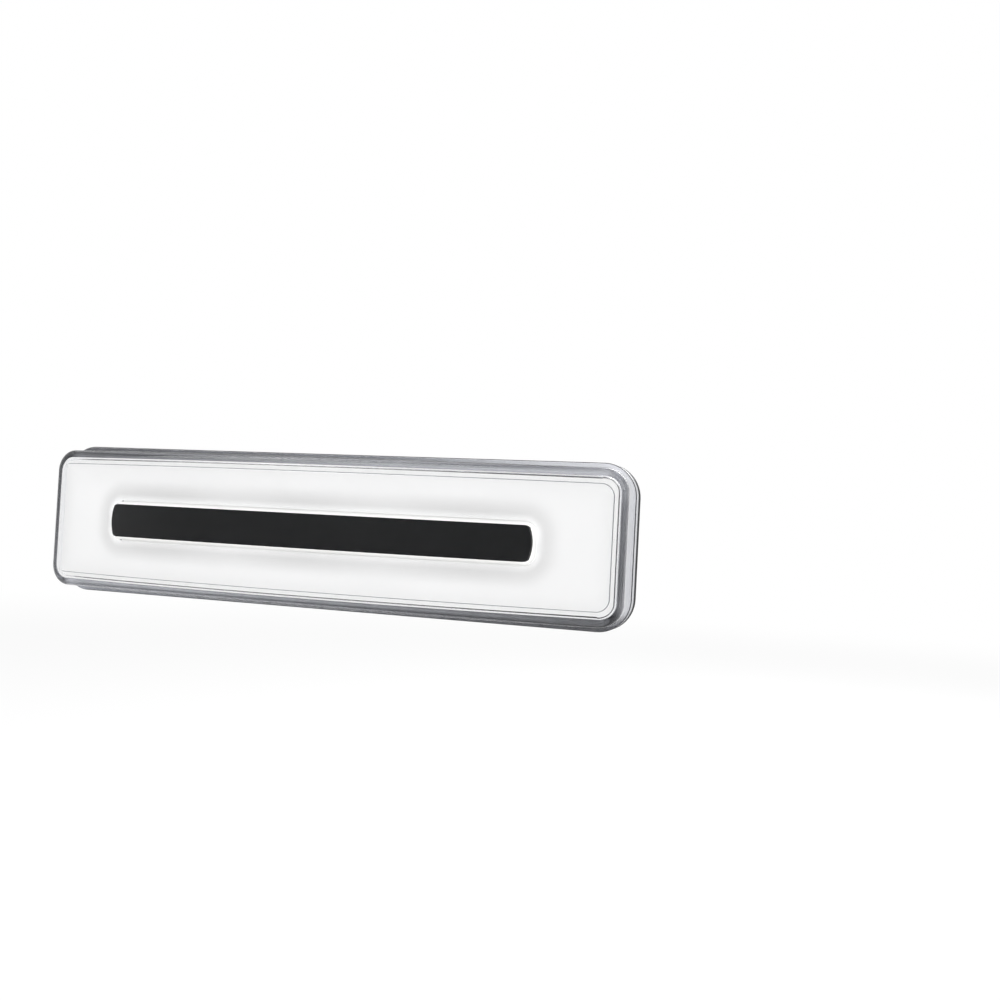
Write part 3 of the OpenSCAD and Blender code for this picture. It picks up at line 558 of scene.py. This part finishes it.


# Welded joint of the lens, seen through the rim: its tone is painted light, pale at the top right
# and bottom left, where the rim shows light, and dark over the black housing elsewhere
def weldedJoint(name, look):
    mat, tree = newMaterial(name)
    joint = lensLook["joint"]
    place = addNode(tree, "ShaderNodeTexCoord").outputs["Object"]
    axes = addNode(tree, "ShaderNodeSeparateXYZ", Vector=place)
    melt = addNode(tree, "ShaderNodeTexNoise", Vector=place, Scale=1000 / joint["meltMm"],
                   Detail=2.0).outputs["Fac"]
    # painted light: paler at the top right and bottom left
    twist = addNode(tree, "ShaderNodeMath", {"operation": "MULTIPLY"}, i0=axes.outputs[0],
                    i1=axes.outputs[2]).outputs[0]
    corner = joint["cornerX"] * joint["cornerZ"] * mm ** 2
    paintedLightShare = addNode(tree, "ShaderNodeMapRange", Value=twist, From_Min=-corner, From_Max=corner,
                   To_Min=look["even"] - look["twist"], To_Max=look["even"] + look["twist"]).outputs[0]
    paintedLightShare = addNode(tree, "ShaderNodeMath", {"operation": "MULTIPLY_ADD", "use_clamp": True},
                   i0=melt, i1=0.15, i2=paintedLightShare).outputs[0]
    alongX = addNode(tree, "ShaderNodeMath", {"operation": "ABSOLUTE"}, i0=axes.outputs[0]).outputs[0]
    ends = addNode(tree, "ShaderNodeMapRange", {"interpolation_type": "SMOOTHSTEP"}, Value=alongX,
                   From_Min=joint["endsX"][0] * mm, From_Max=joint["endsX"][1] * mm,
                   To_Min=1.0, To_Max=look["ends"]).outputs[0]
    paintedLightShare = addNode(tree, "ShaderNodeMath", {"operation": "MULTIPLY"}, i0=paintedLightShare, i1=ends).outputs[0]
    alongZ = addNode(tree, "ShaderNodeMath", {"operation": "ABSOLUTE"}, i0=axes.outputs[2]).outputs[0]
    outer = addNode(tree, "ShaderNodeMapRange", Value=alongZ,
                    From_Min=joint["outerZ"][0] * mm, From_Max=joint["outerZ"][1] * mm,
                    To_Min=1.0, To_Max=look["outer"]).outputs[0]
    paintedLightShare = addNode(tree, "ShaderNodeMath", {"operation": "MULTIPLY"}, i0=paintedLightShare, i1=outer).outputs[0]
    shade = addNode(tree, "ShaderNodeMix", {"data_type": "RGBA"}, Factor=paintedLightShare,
                    i6=hexColour(look["clear"]), i7=hexColour(look["milky"])).outputs[2]
    shader = addNode(tree, "ShaderNodeBsdfPrincipled", Base_Color=shade, Roughness=0.6, IOR=1.49)
    addNode(tree, "ShaderNodeOutputMaterial", Surface=shader.outputs[0])
    return mat


# Side wall and flange of the lens: drawn out of the mould, so fine draw marks scatter some light,
# and painted light makes it paler and hazier towards the right end and the top
def drawnWall(look):
    mat, tree = newMaterial("clear acrylic wall with draw marks")
    place = addNode(tree, "ShaderNodeTexCoord").outputs["Object"]
    axes = addNode(tree, "ShaderNodeSeparateXYZ", Vector=place)
    # painted light: paler towards the right end and the top
    right = addNode(tree, "ShaderNodeMapRange", {"interpolation_type": "SMOOTHSTEP"}, Value=axes.outputs[0],
                    From_Min=look["startX"] * mm, From_Max=look["endX"] * mm).outputs[0]
    wearAndPaintedLight = addNode(tree, "ShaderNodeMapRange", {"interpolation_type": "SMOOTHSTEP"}, Value=axes.outputs[2],
                   From_Min=look["startZ"] * mm, From_Max=look["endZ"] * mm, To_Max=right).outputs[0]
    run = addNode(tree, "ShaderNodeMapping", Vector=place,
                  Scale=[1000 / v for v in look["marksMm"]]).outputs[0]
    marks = addNode(tree, "ShaderNodeTexNoise", Vector=run, Scale=1.0, Detail=2.0).outputs["Fac"]
    wearAndPaintedLight = addNode(tree, "ShaderNodeMath", {"operation": "MULTIPLY_ADD", "use_clamp": True},
                   i0=marks, i1=0.2, i2=wearAndPaintedLight).outputs[0]
    clear = addNode(tree, "ShaderNodeMapRange", Value=wearAndPaintedLight, To_Min=1 - look["least"],
                    To_Max=1 - look["most"]).outputs[0]
    glass = addNode(tree, "ShaderNodeBsdfPrincipled", Base_Color=hexColour(look["tint"]),
                    Roughness=look["rough"], IOR=1.49, Transmission_Weight=clear)
    openToLamps(tree, glass, look)
    return mat


# Ground acrylic: at the face's step it is the mould's parting line, painted as a thin grey line of
# shade, and at the flange's round edge a painted dark outline of shade. The grit is drawn far
# coarser than it is, to show
def groundAcrylic(name, look):
    mat, tree = newMaterial(name)
    place = addNode(tree, "ShaderNodeTexCoord").outputs["Object"]
    grit = addNode(tree, "ShaderNodeTexNoise", Vector=place, Scale=1000 / look["gritMm"],
                   Detail=2.0).outputs["Fac"]
    shade = addNode(tree, "ShaderNodeMix", {"data_type": "RGBA"}, Factor=grit,
                    i6=hexColour(look["dark"]), i7=hexColour(look["light"])).outputs[2]
    shader = addNode(tree, "ShaderNodeBsdfPrincipled", Base_Color=shade, Roughness=0.35, IOR=1.49,
                     Transmission_Weight=look["through"])
    addNode(tree, "ShaderNodeOutputMaterial", Surface=shader.outputs[0])
    return mat


# the bar's outline, round which the light leaves, in mm from the lamp's middle
barOutline = {"x": 61.4, "z": 4.55, "radius": 2.4}


# distance from that outline, in mm
def barDistance(tree, place):
    r = barOutline["radius"]
    core = ((barOutline["x"] - r) * mm, 0, (barOutline["z"] - r) * mm)
    over = addNode(tree, "ShaderNodeVectorMath", {"operation": "ABSOLUTE"}, i0=place).outputs[0]
    over = addNode(tree, "ShaderNodeVectorMath", {"operation": "SUBTRACT"}, i0=over, i1=core).outputs[0]
    over = addNode(tree, "ShaderNodeVectorMath", {"operation": "MAXIMUM"}, i0=over, i1=(0, 0, 0)).outputs[0]
    over = addNode(tree, "ShaderNodeVectorMath", {"operation": "MULTIPLY"}, i0=over, i1=(1, 0, 1)).outputs[0]
    away = addNode(tree, "ShaderNodeVectorMath", {"operation": "LENGTH"}, i0=over).outputs["Value"]
    return addNode(tree, "ShaderNodeMath", {"operation": "MULTIPLY_ADD"},
                   i0=away, i1=1000.0, i2=-r).outputs[0]


# White reflector, moulded in ABS and polished, with painted light as its emission: the light that
# leaves round the bar, a painted grey ring of shade close to it, weaker behind the bar's feet,
# the rest filled evenly, and painted shade darker towards its border
reflectorLook = {
    "dark": "#dfdfdf", "light": "#e7e7e7", "glow": "#fdfeff", "grainMm": 0.6, "cloudMm": 30,
    "base": 0.23, "dip": 0.14, "patch": 0.06,       # painted light on most of it, and what the ring's painted shade takes away
    "patchPitch": 44, "ringIn": 2.8, "ringOut": 7.6,
    "edgeLine": 0.3, "edgeFrom": 0.8, "edgeReach": 3.0,     # painted brighter beside the guide
    "borderX": 81.65, "borderZ": 16.85, "border": 4.5, "paintedBorderShade": 0.07,
}


def litReflector():
    look = reflectorLook
    mat, tree = newMaterial("polished white ABS")
    place = addNode(tree, "ShaderNodeTexCoord").outputs["Object"]
    away = barDistance(tree, place)
    x = addNode(tree, "ShaderNodeSeparateXYZ", Vector=place).outputs[0]
    wave = addNode(tree, "ShaderNodeMath", {"operation": "MULTIPLY"}, i0=x,
                   i1=2 * math.pi / (look["patchPitch"] * mm)).outputs[0]
    wave = addNode(tree, "ShaderNodeMath", {"operation": "COSINE"}, i0=wave).outputs[0]
    depth = addNode(tree, "ShaderNodeMapRange", Value=wave, From_Min=-1.0, To_Min=look["base"] - look["dip"],
                    To_Max=look["base"] - look["dip"] - look["patch"]).outputs[0]
    light = addNode(tree, "ShaderNodeMapRange", {"interpolation_type": "SMOOTHSTEP"}, Value=away,
                    From_Min=look["ringIn"], From_Max=look["ringOut"],
                    To_Min=depth, To_Max=look["base"]).outputs[0]
    near = addNode(tree, "ShaderNodeMapRange", {"interpolation_type": "SMOOTHSTEP"}, Value=away,
                   From_Min=look["edgeFrom"], From_Max=look["edgeReach"],
                   To_Min=look["edgeLine"], To_Max=0.0).outputs[0]
    light = addNode(tree, "ShaderNodeMath", {"operation": "ADD"}, i0=light, i1=near).outputs[0]
    out = addNode(tree, "ShaderNodeVectorMath", {"operation": "ABSOLUTE"}, i0=place).outputs[0]
    within = addNode(tree, "ShaderNodeVectorMath", {"operation": "SUBTRACT"},
                     i0=(look["borderX"] * mm, 0, look["borderZ"] * mm), i1=out).outputs[0]
    within = addNode(tree, "ShaderNodeSeparateXYZ", Vector=within)
    within = addNode(tree, "ShaderNodeMath", {"operation": "MINIMUM"}, i0=within.outputs[0],
                     i1=within.outputs[2]).outputs[0]
    # painted shade, darker towards the reflector's border
    border = addNode(tree, "ShaderNodeMapRange", {"interpolation_type": "SMOOTHSTEP"}, Value=within,
                     From_Min=0.0, From_Max=look["border"] * mm,
                     To_Min=look["paintedBorderShade"], To_Max=0.0).outputs[0]
    light = addNode(tree, "ShaderNodeMath", {"operation": "SUBTRACT"}, i0=light, i1=border).outputs[0]
    grain = addNode(tree, "ShaderNodeTexNoise", Vector=place, Scale=1000 / look["grainMm"],
                    Detail=3.0).outputs["Fac"]
    cloud = addNode(tree, "ShaderNodeTexNoise", Vector=place, Scale=1000 / look["cloudMm"],
                    Detail=2.0).outputs["Fac"]
    shade = addNode(tree, "ShaderNodeMix", {"data_type": "RGBA"}, Factor=cloud,
                    i6=hexColour(look["dark"]), i7=hexColour(look["light"])).outputs[2]
    bump = addNode(tree, "ShaderNodeBump", Strength=0.1, Distance=0.01 * mm, Height=grain).outputs[0]
    shader = addNode(tree, "ShaderNodeBsdfPrincipled", Base_Color=shade, Roughness=0.4, Normal=bump,
                     IOR=1.54, Emission_Color=hexColour(look["glow"]), Emission_Strength=light)
    addNode(tree, "ShaderNodeOutputMaterial", Surface=shader.outputs[0])
    return mat


# Light guide, milky cast acrylic: brightest where it leaves the bar's edge, and it fades outward
guideLook = {"tint": "#e4e5e6", "glow": "#fffefa", "cloudMm": 9, "bright": 0.7, "faint": 0.3, "reach": 0.85}


def litGuide():
    look = guideLook
    mat, tree = newMaterial("milky cast acrylic")
    place = addNode(tree, "ShaderNodeTexCoord").outputs["Object"]
    away = barDistance(tree, place)
    cloud = addNode(tree, "ShaderNodeTexNoise", Vector=place, Scale=1000 / look["cloudMm"],
                    Detail=2.0).outputs["Fac"]
    light = addNode(tree, "ShaderNodeMapRange", {"interpolation_type": "SMOOTHSTEP"}, Value=away,
                    From_Min=0.0, From_Max=look["reach"],
                    To_Min=look["bright"], To_Max=look["faint"]).outputs[0]
    light = addNode(tree, "ShaderNodeMath", {"operation": "MULTIPLY_ADD"},
                    i0=cloud, i1=0.1, i2=light).outputs[0]
    shader = addNode(tree, "ShaderNodeBsdfPrincipled", Base_Color=hexColour(look["tint"]), Roughness=0.35,
                     IOR=1.49, Emission_Color=hexColour(look["glow"]), Emission_Strength=light)
    addNode(tree, "ShaderNodeOutputMaterial", Surface=shader.outputs[0])
    return mat


# Diode packages: a white ceramic body with a round of yellow phosphor in its front
diodeLook = {
    "pitch": 9, "round": 1.05, "blur": 0.03,        # mm
    "phosphor": "#f0cf3a", "ceramic": "#f4f3ee", "grainMm": 0.15,
}


def diodePackage():
    look = diodeLook
    mat, tree = newMaterial("cast phosphor in white ceramic")
    place = addNode(tree, "ShaderNodeTexCoord").outputs["Object"]
    axes = addNode(tree, "ShaderNodeSeparateXYZ", Vector=place)
    inRow = addNode(tree, "ShaderNodeMath", {"operation": "PINGPONG"}, i0=axes.outputs[0],
                    i1=look["pitch"] / 2 * mm).outputs[0]
    flat = addNode(tree, "ShaderNodeCombineXYZ", X=inRow, Y=axes.outputs[2]).outputs[0]
    away = addNode(tree, "ShaderNodeVectorMath", {"operation": "LENGTH"}, i0=flat).outputs["Value"]
    body = addNode(tree, "ShaderNodeMapRange", Value=away, From_Min=(look["round"] - look["blur"]) * mm,
                   From_Max=(look["round"] + look["blur"]) * mm).outputs[0]
    shade = addNode(tree, "ShaderNodeMix", {"data_type": "RGBA"}, Factor=body,
                    i6=hexColour(look["phosphor"]), i7=hexColour(look["ceramic"])).outputs[2]
    grain = addNode(tree, "ShaderNodeTexNoise", Vector=place, Scale=1000 / look["grainMm"],
                    Detail=2.0).outputs["Fac"]
    bump = addNode(tree, "ShaderNodeBump", Strength=0.3, Distance=0.01 * mm, Height=grain).outputs[0]
    shader = addNode(tree, "ShaderNodeBsdfPrincipled", Base_Color=shade, Roughness=0.45, Normal=bump,
                     IOR=1.5)
    addNode(tree, "ShaderNodeOutputMaterial", Surface=shader.outputs[0])
    return mat


# Finishes: what each of the frame's nodes and each drawn piece is made of
finishes = {
    "reflector": litReflector(), "centre_bar": barAbs, "light_guide": litGuide(),
    "circuit_board": boardMask, "led_row": diodePackage(), "resistor_row": epoxyBlack,
    "driver_chip": epoxyBlack, "input_diode": epoxyBlack, "capacitor": drawnAluminium,
    "board_screws": platedSteel, "solder_joints": tinnedCopper, "inner_leads": whitePvc,
    "seal_bead": rubber, "rear_housing": housingAbs, "vent_membrane": membranePtfe,
    "vent_cap": ventPolymer, "cable_gland": rubber, "left_clip": clipSteel, "right_clip": clipSteel,
    "clip_screws": platedSteel,
}
for name, mat in finishes.items():
    mesh = nodes[name].data
    mesh.materials.clear()
    mesh.materials.append(mat)
cableFinishes = {
    "cable": jacketPvc, "white_wire": whitePvc, "black_wire": blackPvc,
    "white_wire_strands": tinnedCopper, "black_wire_strands": tinnedCopper,
}
for name, mat in cableFinishes.items():
    cablePieces[name].data.materials.append(mat)
lensMaterials = {
    "polished": clearAcrylic(lensLook["polished"]),
    "underWall": weldedJoint("welded acrylic under the wall", lensLook["underWall"]),
    "underFlange": weldedJoint("welded acrylic under the flange", lensLook["underFlange"]),
    "partingLine": groundAcrylic("parting line ground in the acrylic", lensLook["partingLine"]),
    "paintedDarkEdge": groundAcrylic("painted dark edge of the acrylic flange", lensLook["paintedDarkEdge"]),
    "drawn": drawnWall(lensLook["drawn"]),
}
for finish in lensFinishes:
    lens.data.materials.append(lensMaterials[finish])
print("materials assigned")


# Stage: a pale floor below the lamp, which hangs free as in the photograph
stage = {
    "floorHeight": -150,                # mm
    "floorSize": 12,                    # m across
    "floor": "#fafafa", "background": "#ffffff",
    "ambient": 0.62,                    # light from all round
    "front": 0.05, "behind": 0.6,       # what gloss sees in front, in the dark, and behind
    "turnsLight": (-0.75, -0.05),       # Y of the way, from the dark front to the pale rest
    "shadow": 0.35,                     # how much of the floor's look near the lamp is lit paint
    "nearFloor": 0.5, "farFloor": 1.8,  # m from the lamp, where the floor fades into the background
    "lamps": [                          # place and size in mm, power in watts
        {"name": "key softbox", "place": (-520, -640, 760), "size": 700, "power": 5.5},
        {"name": "fill softbox", "place": (760, -420, 420), "size": 600, "power": 2.5},
        {"name": "back softbox", "place": (260, 760, 620), "size": 700, "power": 4.5},
    ],
}


# light that gloss and clear parts find along a way: little in front of the lens, as in a dark
# studio, so that the clear rim shows dark bands
def glossLevel(tree, path, way):
    way = addNode(tree, "ShaderNodeVectorMath", {"operation": "NORMALIZE"}, i0=way).outputs[0]
    ahead = addNode(tree, "ShaderNodeSeparateXYZ", Vector=way).outputs[1]
    behind = addNode(tree, "ShaderNodeMapRange", Value=path.outputs["Is Transmission Ray"],
                     To_Min=stage["behind"], To_Max=1.0).outputs[0]
    return addNode(tree, "ShaderNodeMapRange", {"interpolation_type": "SMOOTHSTEP"}, Value=ahead,
                   From_Min=stage["turnsLight"][0], From_Max=stage["turnsLight"][1],
                   To_Min=stage["front"], To_Max=behind).outputs[0]


def makeWorld():
    world = bpy.data.worlds.new("studio")
    world.use_nodes = True
    bpy.context.scene.world = world
    tree = world.node_tree
    tree.nodes.clear()
    path = addNode(tree, "ShaderNodeLightPath")
    way = addNode(tree, "ShaderNodeTexCoord").outputs["Generated"]
    level = addNode(tree, "ShaderNodeMix", i0=path.outputs["Is Glossy Ray"], i2=stage["ambient"],
                    i3=glossLevel(tree, path, way)).outputs[0]
    level = addNode(tree, "ShaderNodeMix", i0=path.outputs["Is Camera Ray"], i2=level, i3=1.0).outputs[0]
    background = addNode(tree, "ShaderNodeBackground", Color=hexColour(stage["background"]), Strength=level)
    addNode(tree, "ShaderNodeOutputWorld", Surface=background.outputs[0])


# painted floor: white where it is seen, with the lamp's shadow, and dark to gloss in front
def floorPaint():
    mat, tree = newMaterial("matt white floor paint")
    path = addNode(tree, "ShaderNodeLightPath")
    place = addNode(tree, "ShaderNodeTexCoord").outputs["Object"]
    away = addNode(tree, "ShaderNodeVectorMath", {"operation": "LENGTH"}, i0=place).outputs["Value"]
    fade = addNode(tree, "ShaderNodeMapRange", {"interpolation_type": "SMOOTHSTEP"}, Value=away,
                   From_Min=stage["nearFloor"], From_Max=stage["farFloor"],
                   To_Min=1 - stage["shadow"], To_Max=1.0).outputs[0]
    share = addNode(tree, "ShaderNodeMath", {"operation": "MULTIPLY_ADD"}, i0=fade,
                    i1=path.outputs["Is Camera Ray"], i2=path.outputs["Is Glossy Ray"]).outputs[0]
    level = addNode(tree, "ShaderNodeMix", i0=path.outputs["Is Glossy Ray"], i2=1.0,
                    i3=glossLevel(tree, path, place)).outputs[0]
    paint = addNode(tree, "ShaderNodeBsdfDiffuse", Color=hexColour(stage["floor"]))
    glow = addNode(tree, "ShaderNodeEmission", Color=hexColour(stage["background"]), Strength=level)
    mix = addNode(tree, "ShaderNodeMixShader", i0=share, i1=paint.outputs[0], i2=glow.outputs[0])
    addNode(tree, "ShaderNodeOutputMaterial", Surface=mix.outputs[0])
    return mat


def makeFloor():
    bm = bmesh.new()
    half = stage["floorSize"] / 2
    height = stage["floorHeight"] * mm
    corners = ((-half, -half), (half, -half), (half, half), (-half, half))
    bm.faces.new([bm.verts.new((x, y, height)) for x, y in corners])
    floor = newPiece("floor", bm)
    floor.data.materials.append(floorPaint())


def makeLamps():
    for lamp in stage["lamps"]:
        data = bpy.data.lights.new(lamp["name"], "AREA")
        data.shape = "SQUARE"
        data.size = lamp["size"] * mm
        data.energy = lamp["power"]
        obj = bpy.data.objects.new(lamp["name"], data)
        obj.location = Vector(lamp["place"]) * mm
        aim = -obj.location             # to the middle of the object
        obj.rotation_euler = aim.to_track_quat("-Z", "Y").to_euler()
        bpy.context.scene.collection.objects.link(obj)


makeWorld()
makeFloor()
makeLamps()
bpy.context.scene.view_settings.view_transform = "Standard"
print("stage set")
